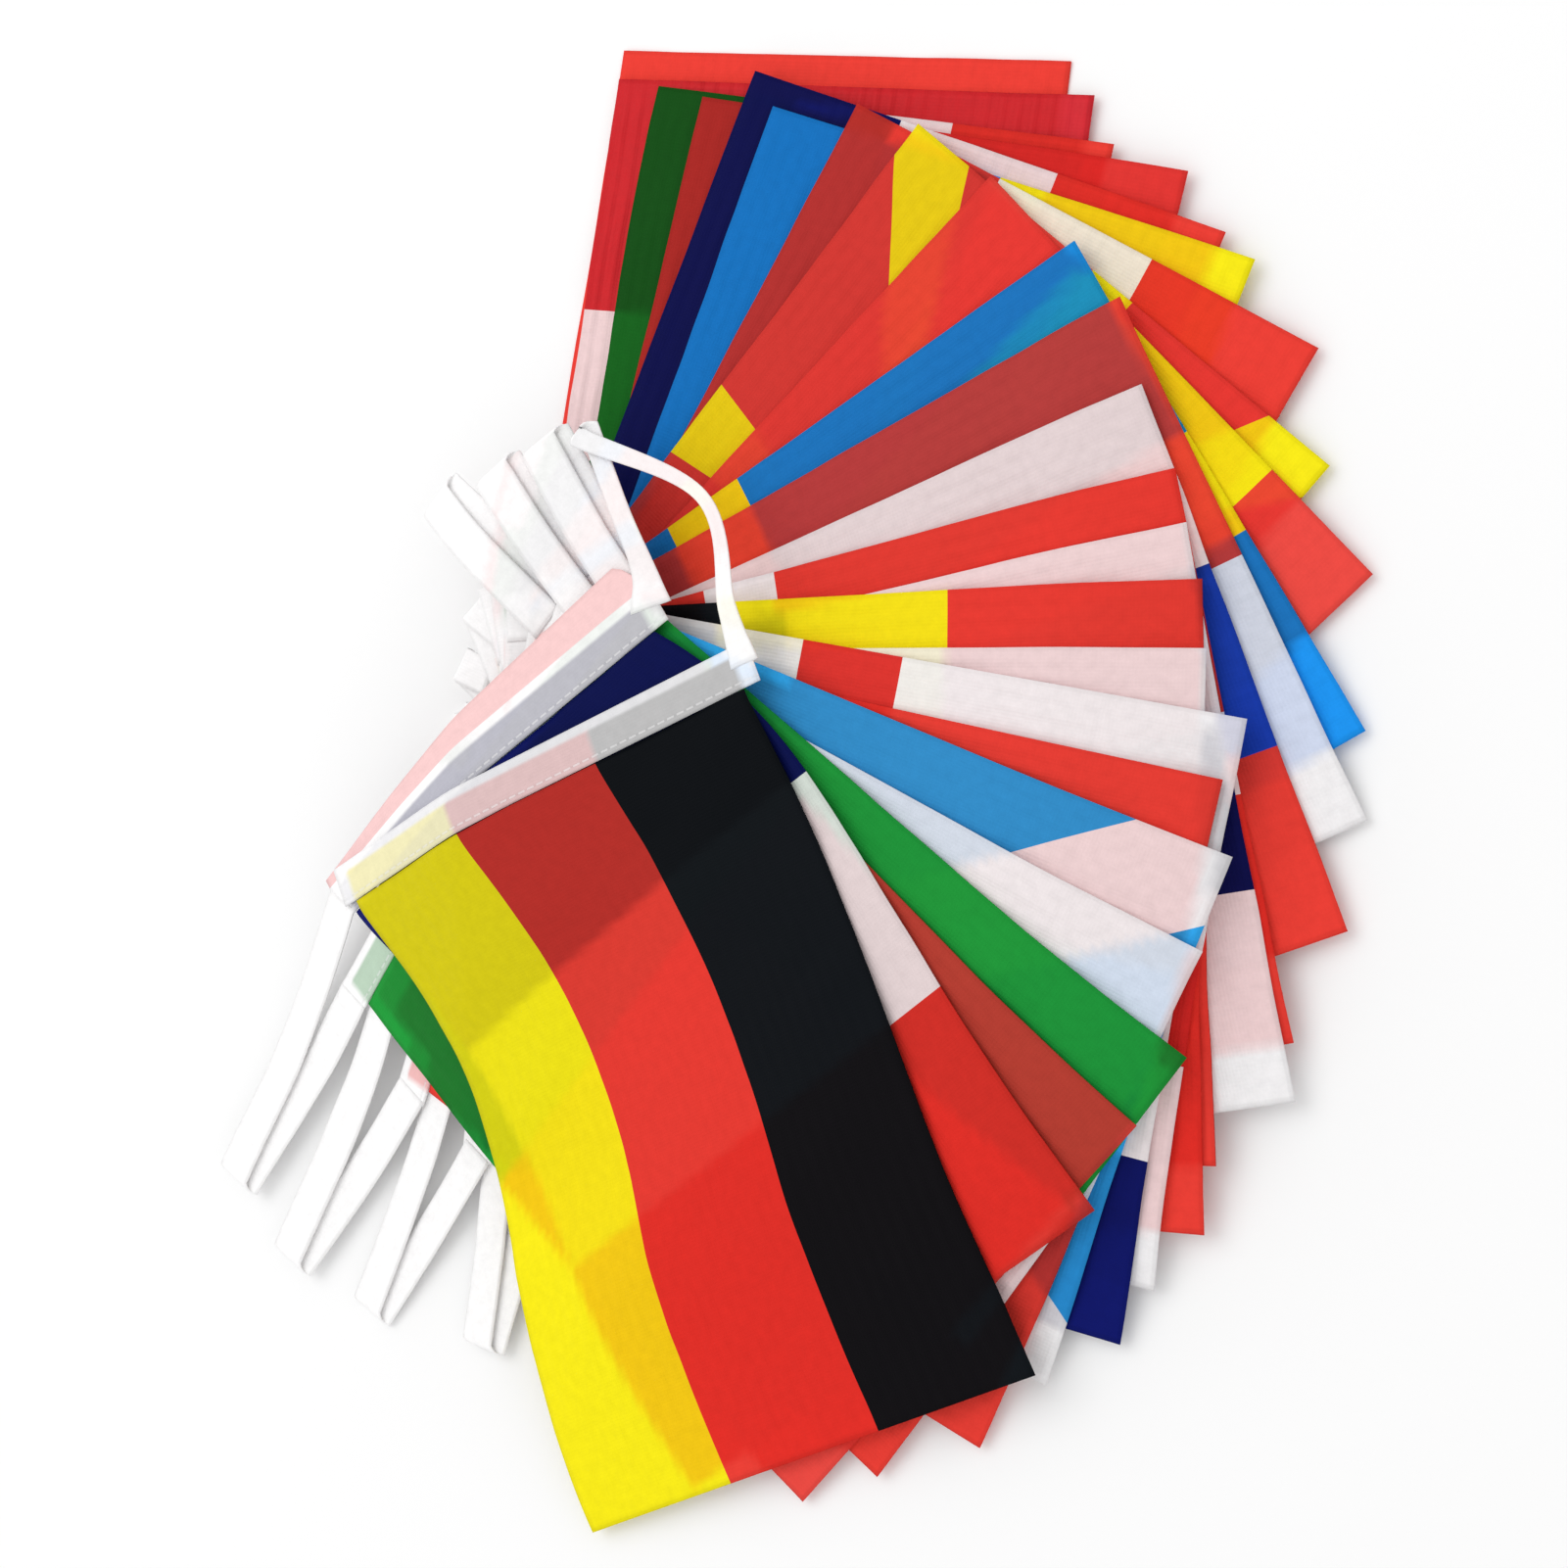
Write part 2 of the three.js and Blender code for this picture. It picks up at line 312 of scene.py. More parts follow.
def strips_along(line, width):
    """One strip for each step of a line. Both ends are longer by half a width, less END_CUT, so
    that the strips join."""
    found = []
    for a, b in zip(line[:-1], line[1:]):
        reach = (b - a) / np.linalg.norm(b - a) * (width / 2 - END_CUT)
        found.append(strip(a - reach, b + reach, width))
    return found


def layer_strips(n):
    """The oblongs that layer n is made of: cloth, heading, and the tape that runs on from it."""
    reach = WIDTH / 2 + TAB
    found = [
        strip(on_flag(n, TAPE + SEAM, 0), on_flag(n, LENGTH, 0), WIDTH),
        strip(on_flag(n, TAPE / 2, reach), on_flag(n, TAPE / 2, -reach), TAPE),
    ]
    if n < COUNT - 1:
        found += strips_along(JOINTS[n][1], JOINTS[n][2])
    if n > 0:
        found += strips_along(JOINTS[n - 1][0], JOINTS[n - 1][2])
    return found


def touched_nodes(strips):
    """True at the corners of each grid cell that a strip touches, tested at 7 by 7 points of it."""
    pitch = CELL / STEPS
    corner = (np.arange(CELLS) - CELLS / 2) * CELL
    inner = np.arange(STEPS + 1) * pitch
    x = corner[:, None, None, None] + inner[None, None, :, None]
    y = corner[None, :, None, None] + inner[None, None, None, :]
    hit = np.zeros((CELLS, CELLS), bool)
    for middle, way, long, wide in strips:
        dx, dy = x - middle[0], y - middle[1]
        along, across = dx * way[0] + dy * way[1], dy * way[0] - dx * way[1]
        inside = (abs(along) <= long + pitch) & (abs(across) <= wide + pitch)
        hit |= inside.any(axis=(2, 3))
    touched = np.zeros((NODES, NODES), bool)
    for i in (0, 1):
        for j in (0, 1):
            touched[i : i + CELLS, j : j + CELLS] |= hit
    return touched


def hang(ground, touched):
    """The heights of a layer: each touched point takes the mean of its touched neighbours less
    DROOP, but never less than the ground."""
    z = ground.copy()
    weight = np.pad(touched, 1).astype(float)
    count = weight[:-2, 1:-1] + weight[2:, 1:-1] + weight[1:-1, :-2] + weight[1:-1, 2:]
    for _ in range(PASSES):
        p = np.pad(z, 1) * weight
        mean = (p[:-2, 1:-1] + p[2:, 1:-1] + p[1:-1, :-2] + p[1:-1, 2:]) / np.maximum(count, 1)
        z = np.where(touched, np.maximum(ground, mean - DROOP), z)
    return z


def height_on(grid, points):
    """The height of a layer's lower face at points in the plan, on the two triangles of each cell."""
    u, v = points[..., 0] / CELL + CELLS / 2, points[..., 1] / CELL + CELLS / 2
    i, j = np.floor(u).astype(int), np.floor(v).astype(int)
    s, t = u - i, v - j
    a, b, c, d = grid[i, j], grid[i + 1, j], grid[i + 1, j + 1], grid[i, j + 1]
    return np.where(s > t, a + (b - a) * s + (c - b) * t, a + (d - a) * t + (c - d) * s)


layers = [None] * COUNT
ground = np.zeros((NODES, NODES))
for n in reversed(range(COUNT)):
    touched = touched_nodes(layer_strips(n))
    layers[n] = hang(ground, touched)
    ground = np.where(touched, layers[n] + THICK + CLEAR, ground)

# %% [markdown]
# The printed designs
#
# The flags are printed cloth, so each design is a few painted shapes in the flag's own
# coordinates: u runs from the heading to the far edge, and v from the right hand to the left.
# A box is told by its colour and its reach along u and v. A saltire is told by half the width
# of its arms in millimetres, and rays by half their width as a share of the 45 degrees between
# two of them. Only plain stripes, crosses and rays are drawn.

# %% The printed designs
RED, PALE_RED, CRIMSON, DARK_RED = "ea3e34", "ec4a42", "df3531", "d2222e"
YELLOW, GREEN, WHITE = "f6e814", "1f9a3a", "f1eff0"
BLACK, NAVY, ROYAL = "0e1318", "0c1568", "1a3fae"
BLUE, MID_BLUE, DEEP_GREEN = "34b0fa", "1c94f0", "146a1e"


def plain(colour):
    """One box over the whole flag."""
    return ("box", colour, 0, 1, 0, 1)


def across_length(*bands):
    """Bands that follow each other from the heading to the far edge, as (colour, share) pairs."""
    total, at, shapes = sum(share for _, share in bands), 0.0, []
    for colour, share in bands:
        shapes.append(("box", colour, at / total, (at + share) / total, 0, 1))
        at += share
    return shapes


def along_length(*stripes):
    """Stripes side by side from the left hand to the right hand, as (colour, share) pairs."""
    total, at, shapes = sum(share for _, share in stripes), 0.0, []
    for colour, share in stripes:
        shapes.append(("box", colour, 0, 1, 1 - (at + share) / total, 1 - at / total))
        at += share
    return shapes


def cross(field, arm, lengthwise, sideways):
    """A field with a cross, whose arms are the middle ones of three shares along u and along v."""
    (a, b, c), (d, e, f) = lengthwise, sideways
    u, v = a + b + c, d + e + f
    return [
        plain(field),
        ("box", arm, a / u, (a + b) / u, 0, 1),
        ("box", arm, 0, 1, d / v, (d + e) / v),
    ]


DESIGNS = [
    along_length((BLACK, 1), (RED, 1), (YELLOW, 1)),
    across_length((NAVY, 1), (WHITE, 1), (RED, 1)),
    across_length((GREEN, 2), (PALE_RED, 3)),
    along_length((GREEN, 1), (WHITE, 1), (RED, 1)),
    along_length((WHITE, 1), (RED, 1)),
    [plain(BLUE), ("saltire", WHITE, 14.0)],
    along_length((RED, 1), (WHITE, 1), (NAVY, 1)),
    cross(WHITE, CRIMSON, (75.5, 28, 87), (56, 28, 56)),
    along_length((WHITE, 1), (RED, 1)),
    across_length((BLACK, 1), (YELLOW, 1), (RED, 1)),
    cross(WHITE, NAVY, (5, 3, 10), (4, 3, 4)),
    cross(RED, WHITE, (12, 4, 21), (3, 1, 3)),
    along_length((WHITE, 1), (ROYAL, 1), (RED, 1)),
    along_length((PALE_RED, 1), (WHITE, 1)),
    cross(MID_BLUE, YELLOW, (5, 2, 9), (4, 2, 4)),
    along_length((PALE_RED, 1), (YELLOW, 2), (PALE_RED, 1)),
    [plain(PALE_RED), ("rays", YELLOW, 0.135)],
    along_length((RED, 1), (WHITE, 1), (RED, 1)),
    along_length((MID_BLUE, 1), (YELLOW, 1)),
    along_length((NAVY, 1), (WHITE, 1), (RED, 1)),
    [plain(CRIMSON)],
    along_length((DEEP_GREEN, 1), (WHITE, 1), (RED, 1)),
    across_length((GREEN, 1), (WHITE, 1), (DARK_RED, 1)),
    [plain(RED)],
]
print("designs:", len(DESIGNS), "shapes in all:", sum(len(design) for design in DESIGNS))

# %% [markdown]
# Painting a design
#
# The same designs are painted twice. Numpy paints them into arrays, to find what shows through
# thin cloth from below, and shader nodes paint them sharp for the render. The cloth goes on
# under the tape, so a design starts 2.5 mm in from the heading's outer edge. FLATTEN squeezes u
# before the angles of the rays are taken.

# %% Painting a design
HIDDEN = 2.5
FLATTEN = 0.9
LONG = LENGTH - HIDDEN


def uv_on(along, across):
    """The design's coordinates u and v at a place along and across a straight flag."""
    return (along - HIDDEN) / LONG, across / WIDTH + 0.5


def shape_mask(shape, u, v):
    """1 inside one painted shape and 0 outside it, for arrays of u and v."""
    kind = shape[0]
    if kind == "box":
        u0, u1, v0, v1 = shape[2:]
        return (u >= u0) & (u <= u1) & (v >= v0) & (v <= v1)
    if kind == "saltire":
        x, y = u * LONG, v * WIDTH
        diagonal = math.hypot(LONG, WIDTH)
        rising = abs(x * WIDTH - y * LONG) / diagonal
        falling = abs(x * WIDTH + y * LONG - LONG * WIDTH) / diagonal
        return np.minimum(rising, falling) <= shape[2]
    turns = np.arctan2(v - 0.5, FLATTEN * (u - 0.5)) / (math.pi / 4)
    return abs(turns - np.round(turns)) <= shape[2]


def paint(design, u, v):
    """The design's linear colour at u and v: each shape covers the ones before it."""
    colour = np.ones((*u.shape, 3))
    for shape in design:
        colour = np.where(shape_mask(shape, u, v)[..., None], linear(shape[1]), colour)
    return colour


print("a design is", LONG, "mm long; colour at its middle:", paint(DESIGNS[0], *np.full((2, 1), 0.5)))

# %% [markdown]
# What shows through
#
# The cloth is thin polyester. Light goes through it, comes back from what lies below, and
# carries its colour: red over navy is darker than red over white, and white over red is pink.
# A layer's colour is its dye, times a mix of white and the colour below it. OWN is the share of
# white in that mix, larger for pale cloth, which scatters more. The colour below is worked out
# from the bottom layer up and kept as a colour attribute on each piece.

# %% What shows through
OWN_DARK, OWN_PALE, OWN_TAPE = 0.45, 0.73, 0.48
BRIGHTNESS = np.array([0.2126, 0.7152, 0.0722])
FLOOR = np.array([0.97, 0.97, 0.97])
TAPE_COLOUR = "fbfafa"
TAPE_WHITE = linear(TAPE_COLOUR)


def over(dye, below):
    """The colour of a dyed layer over another colour: dye times (own + (1 - own) times below)."""
    own = OWN_DARK + (OWN_PALE - OWN_DARK) * (dye @ BRIGHTNESS)[..., None]
    return dye * (own + (1 - own) * below)


def seen_from_above(first, points):
    """The colour of the stack from layer first down to the floor, at points in the plan."""
    colour = np.broadcast_to(FLOOR, (*points.shape[:-1], 3)).copy()
    for m in reversed(range(first, COUNT)):
        along, across = off_flag(m, points)
        left, right = edge_shifts(m, along)
        u, v = (along - HIDDEN) / LONG, (across + WIDTH / 2 - right) / (WIDTH + left - right)
        on_cloth = (u >= 0) & (u <= 1) & (v >= 0) & (v <= 1)
        dye = paint(DESIGNS[m], u, v)
        colour = np.where(on_cloth[..., None], over(dye, colour), colour)
        on_tape = (along >= 0) & (along <= TAPE) & (abs(across) <= WIDTH / 2 + TAB)
        taped = TAPE_WHITE * (OWN_TAPE + (1 - OWN_TAPE) * colour)
        colour = np.where(on_tape[..., None], taped, colour)
    return colour


def soft_below(first, points, pitch):
    """The same colour as the mean of nine places around each point, which softens its borders."""
    shifts = np.array([(i, j) for i in (-1, 0, 1) for j in (-1, 0, 1)]) * pitch / 3
    return sum(seen_from_above(first, points + shift) for shift in shifts) / len(shifts)


print("above the middle of the fan:", seen_from_above(0, np.array([[-20.0, -20.0]])).round(2))

# %% [markdown]
# The cloth sheets
#
# Each flag is a fine grid of points, about 2 mm apart. Its plan is the flag's oblong, its height
# is that of its layer, smoothed so that the 24 mm triangles of the CAD don't show, and it gets
# faint ripples. Layers are 1.51 mm apart, so 1.16 mm lie free between two cloths of 0.35 mm. The
# smoothing and the ripples together are bent back softly to 0.52 mm, less than half of that, so
# that neighbours don't meet. A few long edges are drawn to one side, as in the photograph. A
# Solidify modifier then gives the cloth its thickness.

# %% The cloth sheets
STEP = 2.0
CLOTH = 0.35
ROOM = 0.52
CLOTH_PASSES = 14
RIPPLES = (60, 44, 31, 23, 18)
RIPPLE_HEIGHT = 0.0035
BEND, BEND_LENGTH = 1.3, 2.7


def smooth(z, passes):
    """Blurs a grid of heights: each pass mixes a point half and half with its neighbours, first
    along one way and then the other, and a border keeps its slope."""
    for _ in range(passes):
        for axis in (0, 1):
            z = np.moveaxis(z, axis, 0)
            ends = np.concatenate([2 * z[:1] - z[1:2], z, 2 * z[-1:] - z[-2:-1]])
            z = np.moveaxis((ends[:-2] + 2 * z + ends[2:]) / 4, 0, axis)
    return z


def ripples(x, y, seed):
    """Faint waves of 18 to 60 mm, a sum of bent sines. Their directions and phases are drawn with
    the seed, and each is as high as a small share of its length."""
    rng = np.random.default_rng(seed)
    total = np.zeros_like(x)
    for length in RIPPLES:
        way, phase = rng.uniform(0, 2 * math.pi, 2)
        wave = 2 * math.pi * (x * math.cos(way) + y * math.sin(way)) / length
        bent = BEND * np.sin(wave / BEND_LENGTH + phase)
        total += RIPPLE_HEIGHT * length * np.sin(wave + phase + bent)
    return total


def laid_on(layer, plan, passes, extra=0.0):
    """The height of thin cloth: the middle of the CAD sheet, smoothed and with extra added, but
    less than ROOM away from where it was."""
    flat = height_on(layers[layer], plan) + THICK / 2
    change = smooth(flat, passes) - flat + extra
    return flat + ROOM * np.tanh(change / ROOM)


def grid_faces(rows, columns, first=0):
    """The four-cornered faces of a grid of points, counted row by row from the number first."""
    a = first + np.arange(rows - 1)[:, None] * columns + np.arange(columns - 1)
    return np.stack([a, a + columns, a + columns + 1, a + 1], axis=-1).reshape(-1, 4)


def make_mesh(name, points, faces, uv, below):
    """A mesh from arrays: points in millimetres, faces, and a UV and a colour for each point."""
    mesh = bpy.data.meshes.new(name)
    mesh.vertices.add(len(points))
    mesh.vertices.foreach_set("co", (points / 1000).astype(np.float32).ravel())
    mesh.loops.add(faces.size)
    mesh.loops.foreach_set("vertex_index", faces.ravel().astype(np.int32))
    mesh.polygons.add(len(faces))
    mesh.polygons.foreach_set("loop_start", np.arange(0, faces.size, 4, dtype=np.int32))
    mesh.update(calc_edges=True)
    mesh.polygons.foreach_set("use_smooth", np.ones(len(faces), bool))
    layer = mesh.uv_layers.new(name="UVMap")
    layer.data.foreach_set("uv", uv[faces.ravel()].astype(np.float32).ravel())
    tint = mesh.color_attributes.new("below", "FLOAT_COLOR", "POINT")
    tint.data.foreach_set("color", np.c_[below, np.ones(len(below))].astype(np.float32).ravel())
    mesh.validate()
    return mesh


def centred(plan, z):
    """Points in the part's frame, in a list: the plan moved by CENTRE, and the heights."""
    return np.concatenate([plan + CENTRE, z[..., None]], axis=-1).reshape(-1, 3)


def add_thickness(piece, thickness):
    """A Solidify modifier that gives a sheet its thickness, half to each side."""
    shell = piece.modifiers.new("thickness", "SOLIDIFY")
    shell.thickness = thickness / 1000
    shell.offset = 0.0


def flag_sheet(n):
    """Flag n as a grid: an oblong in the plan, at its layer's height, smoothed and rippled."""
    rows = int((LENGTH - TAPE - SEAM) / STEP) + 1
    columns = int(WIDTH / STEP) + 1
    near_to_far = np.linspace(TAPE + SEAM, LENGTH, rows)
    left_to_right = np.linspace(WIDTH / 2, -WIDTH / 2, columns)
    along, across = np.meshgrid(near_to_far, left_to_right, indexing="ij")
    u, v = uv_on(along, across)
    left, right = edge_shifts(n, along)
    plan = on_flag(n, along, across + left * v + right * (1 - v))
    z = laid_on(n, plan, CLOTH_PASSES, ripples(along, across, n))
    below = soft_below(n + 1, plan, STEP).reshape(-1, 3)
    uv = np.stack([u, v], axis=-1).reshape(-1, 2)
    return make_mesh(f"cloth_{n + 1:02d}", centred(plan, z), grid_faces(rows, columns), uv, below)


print("the highest ripple:", round(float(RIPPLE_HEIGHT * sum(RIPPLES)), 2), "mm at most")

# %% [markdown]
# The printed cloth
#
# The flags are plain-woven polyester, thin and nearly matt, with threads about 0.3 mm apart. That
# is finer than a pixel of the render, so the weave is drawn at 0.9 mm. Low creases from the
# folding lie over it, with close ribs here and there where the cloth is pulled. The dye varies a
# little, which keeps large fields from looking like plastic.
#
# Some sockets are told by number. A Mix node has colours at 6 and 7, its factor at 0 and the
# mixed colour at output 2. A Wave node has its height at output 1, and its waves are 2 pi / 20
# apart at scale 1. Heights of bumps are in metres.

# %% The printed cloth
WEAVE, RIB, CREASE, MOTTLE = 0.9, 4.5, 26.0, 3.2
THREAD_HEIGHT, RIB_HEIGHT, CREASE_HEIGHT = 0.0001, 0.0010, 0.0018
WAVES_AT_ONE = 20
SHEEN = 0.05
MATHS = "ShaderNodeMath"
WAVE = "ShaderNodeTexWave"
BUMP = "ShaderNodeBump"
MIX = "ShaderNodeMix"
MIXED = {"data_type": "RGBA"}
TIMES = {"data_type": "RGBA", "blend_type": "MULTIPLY"}


def mask_node(tree, shape, u, v):
    """The same masks as shape_mask, made from Math nodes."""
    kind = shape[0]
    if kind == "box":
        u0, u1, v0, v1 = shape[2:]
        along = add(tree, MATHS, {"operation": "COMPARE"}, _0=u, _1=(u0 + u1) / 2, _2=(u1 - u0) / 2)
        across = add(tree, MATHS, {"operation": "COMPARE"}, _0=v, _1=(v0 + v1) / 2, _2=(v1 - v0) / 2)
        return add(tree, MATHS, {"operation": "MULTIPLY"}, _0=along, _1=across)
    if kind == "saltire":
        span = LONG * WIDTH / math.hypot(LONG, WIDTH)
        x = add(tree, MATHS, {"operation": "MULTIPLY"}, _0=u, _1=span)
        y = add(tree, MATHS, {"operation": "MULTIPLY"}, _0=v, _1=span)
        apart = add(tree, MATHS, {"operation": "SUBTRACT"}, _0=x, _1=y)
        rising = add(tree, MATHS, {"operation": "ABSOLUTE"}, _0=apart)
        both = add(tree, MATHS, {"operation": "ADD"}, _0=x, _1=y)
        past = add(tree, MATHS, {"operation": "SUBTRACT"}, _0=both, _1=span)
        falling = add(tree, MATHS, {"operation": "ABSOLUTE"}, _0=past)
        nearest = add(tree, MATHS, {"operation": "MINIMUM"}, _0=rising, _1=falling)
        return add(tree, MATHS, {"operation": "LESS_THAN"}, _0=nearest, _1=shape[2])
    dx = add(tree, MATHS, {"operation": "MULTIPLY_ADD"}, _0=u, _1=FLATTEN, _2=-0.5 * FLATTEN)
    dy = add(tree, MATHS, {"operation": "SUBTRACT"}, _0=v, _1=0.5)
    angle = add(tree, MATHS, {"operation": "ARCTAN2"}, _0=dy, _1=dx)
    turns = add(tree, MATHS, {"operation": "DIVIDE"}, _0=angle, _1=math.pi / 4)
    off = add(tree, MATHS, {"operation": "PINGPONG"}, _0=turns, _1=0.5)
    return add(tree, MATHS, {"operation": "LESS_THAN"}, _0=off, _1=shape[2])


def weave_bump(tree, place, depth):
    """Plain weave as bump: creases, then ribs, then threads both ways, from a place in millimetres."""
    waves = [
        add(
            tree,
            WAVE,
            {"bands_direction": way},
            Vector=place,
            Scale=2 * math.pi / (WAVES_AT_ONE * WEAVE),
            Distortion=0.6,
            Detail_Scale=0.4,
        ).outputs[1]
        for way in ("X", "Y")
    ]
    threads = add(tree, MATHS, {"operation": "ADD"}, _0=waves[0], _1=waves[1])
    crease = add(tree, "ShaderNodeTexNoise", Vector=place, Scale=1 / CREASE, Detail=2.0, Roughness=0.45)
    fine = add(
        tree,
        WAVE,
        {"bands_direction": "Y"},
        Vector=place,
        Scale=2 * math.pi / (WAVES_AT_ONE * RIB),
        Distortion=3.0,
        Detail=1.0,
        Detail_Scale=0.08,
    )
    where = add(tree, MATHS, {"operation": "POWER"}, _0=crease, _1=2.0)
    ribs = add(tree, MATHS, {"operation": "MULTIPLY"}, _0=fine.outputs[1], _1=where)
    low = add(tree, BUMP, Strength=0.30, Distance=CREASE_HEIGHT * depth, Height=crease)
    middle = add(tree, BUMP, Strength=0.40, Distance=RIB_HEIGHT * depth, Height=ribs, Normal=low)
    return add(tree, BUMP, Strength=0.25, Distance=THREAD_HEIGHT, Height=threads, Normal=middle)


def tinted(tree, dye, place, own):
    """The dye with a slight unevenness, times the mix of white and the colour below the piece."""
    uneven = add(tree, "ShaderNodeTexNoise", Vector=place, Scale=1 / MOTTLE, Detail=5.0, Roughness=0.7)
    spread = {"From_Min": 0.3, "From_Max": 0.7, "To_Min": 0.94, "To_Max": 1.04}
    shade = add(tree, "ShaderNodeMapRange", Value=uneven, **spread)
    below = add(tree, "ShaderNodeVertexColor", {"layer_name": "below"})
    light = add(tree, MIX, MIXED, _0=own, _6=below, _7=[1, 1, 1, 1])
    worn = add(tree, "ShaderNodeVectorMath", {"operation": "SCALE"}, _0=dye, Scale=shade)
    return add(tree, MIX, TIMES, _0=1.0, _6=worn, _7=light.outputs[2]).outputs[2]


def cloth_material(name, design, depth):
    """Printed polyester: the design from the UV map, with what shows through and the weave's bump.
    Crumpled cloth, with deeper creases, also catches a little more light."""
    material, tree = new_material(name)
    uv = add(tree, "ShaderNodeUVMap", {"uv_map": "UVMap"})
    size = add(tree, "ShaderNodeMapping", Vector=uv, Scale=(LONG, WIDTH, 1))
    parts = add(tree, "ShaderNodeSeparateXYZ", Vector=uv)
    dye = rgba(design[0][1])
    for shape in design:
        mask = mask_node(tree, shape, parts.outputs[0], parts.outputs[1])
        dye = add(tree, MIX, MIXED, _0=mask, _6=dye, _7=rgba(shape[1])).outputs[2]
    brightness = add(tree, "ShaderNodeRGBToBW", Color=dye)
    range_of_own = OWN_PALE - OWN_DARK
    own = add(tree, MATHS, {"operation": "MULTIPLY_ADD"}, _0=brightness, _1=range_of_own, _2=OWN_DARK)
    surface = add(
        tree,
        "ShaderNodeBsdfPrincipled",
        Base_Color=tinted(tree, dye, size, own),
        Roughness=0.62,
        IOR=1.5,
        Specular_IOR_Level=SHEEN * depth,
        Normal=weave_bump(tree, size, depth),
    )
    add(tree, "ShaderNodeOutputMaterial", Surface=surface)
    return material


print("threads, ribs, creases and mottles in mm:", WEAVE, RIB, CREASE, MOTTLE)

# %% [markdown]
# Laying the flags
#
# Each flag stands for its CAD sheet, which is hidden, and it lies on the flags under it. The last
# but one is crumpled, so its creases are four times as deep.

# %% Laying the flags
CRUMPLED = {22: 4.0}

flags = []
for n in range(COUNT):
    piece = bpy.data.objects.new(f"cloth_{n + 1:02d}", flag_sheet(n))
    bpy.context.collection.objects.link(piece)
    add_thickness(piece, CLOTH)
    print_name = f"printed polyester {n + 1:02d}"
    piece.data.materials.append(cloth_material(print_name, DESIGNS[n], CRUMPLED.get(n, 1.0)))
    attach(piece, "root")
    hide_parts(f"flag_{n + 1:02d}")
    flags.append(piece)
for n, piece in enumerate(flags):
    below = [other.name for other in flags[n + 1 : n + 3]] or ["tape"]
print("flags laid:", len(flags), "points each:", len(flags[0].data.vertices))

# %% [markdown]
# The heading tape
#
# One white tape holds all flags. Over a flag it is folded round the cloth's edge and stitched,
# so the print shows through it, apart from a narrow rim. On the second flag the tape has come
# open and lies flat, so it shows beyond the cloth's edge too, pink from red cloth under it. That
# strip is 10 mm wide at the left hand and 3 mm at the right.

# %% The heading tape
TAPE_STEP = 2.0
HEADING_ROWS = 12
HEADING_PASSES = 6
HEADING_PITCH = 1.0
HEADING_UV = 100
RIM_SHOWS = 0.5
OPENED = {1: 10.0}
OPEN_ROWS = 6
OPEN_START = -0.03
OPEN_AT_RIGHT = 0.3
LEAST_OPEN = 0.5
PINK = 1 - 0.8 * (1 - over(linear(RED), 1.0))


def heading_rows(n, along, across):
    """Rows with an along below 0 lie on the open strip: they are spread over its width."""
    left, right = heading_end(n, 1), heading_end(n, -1)
    slant = OPEN_AT_RIGHT + (1 - OPEN_AT_RIGHT) * (across - right) / (left - right)
    corner = (left + TAB - across) / TAB
    opened = OPENED.get(n, 0) * np.minimum(slant, corner)
    return np.where(along < 0, along * np.maximum(opened, LEAST_OPEN), along)


def heading(n):
    """The tape over flag n: rows across the tape, columns along it, with what shows through it."""
    left, right = heading_end(n, 1), heading_end(n, -1)
    columns = np.linspace(left + TAB, right - TAB, int((left - right + 2 * TAB) / TAPE_STEP) + 1)
    rows = np.linspace(0, TAPE, HEADING_ROWS)
    if n in OPENED:
        rows = np.r_[np.linspace(-1, OPEN_START, OPEN_ROWS), rows]
    along, across = np.meshgrid(rows, columns, indexing="ij")
    along = heading_rows(n, along, across)
    plan = on_flag(n, along, across)
    z = laid_on(n, plan, HEADING_PASSES)
    below = soft_below(n + 1, plan, HEADING_PITCH)
    covered = (along >= HIDDEN) & (across <= left) & (across >= right)
    through = over(paint(DESIGNS[n], *uv_on(along, across)), below)
    rim = np.where((along < 0)[..., None], PINK, 1 - RIM_SHOWS * (1 - below))
    below = np.where(covered[..., None], through, rim)
    uv = np.stack([across + HEADING_UV, TAPE - along], axis=-1)
    return plan, z, below, uv


headings = [heading(n) for n in range(COUNT)]
print("headings:", len(headings), "points each:", [grid[1].size for grid in headings[:3]])

# %% [markdown]
# The free runs of tape
#
# Between two flags the tape runs free. It leaves the lower heading, goes out to a tip, folds
# flat there and comes back to the upper heading. It is curled up loosely, so little shows
# through it, and its two halves don't lie quite on each other at the tip. The large loop over
# the stack is narrower away from the headings, and narrowest on its way back.

# %% The free runs of tape
TAPE_ROWS = 9
RUN_PASSES = 10
RUN_RISE = 0.12
RUN_UV = 20
FOLD_ROWS = 5
FOLD_OUT = 0.9
SPREAD = 4.0
FREE_SHOWS = 0.25
TAPER = {0: ([12, 6, 5.5], [5.5, 3.5, 5, 8])}


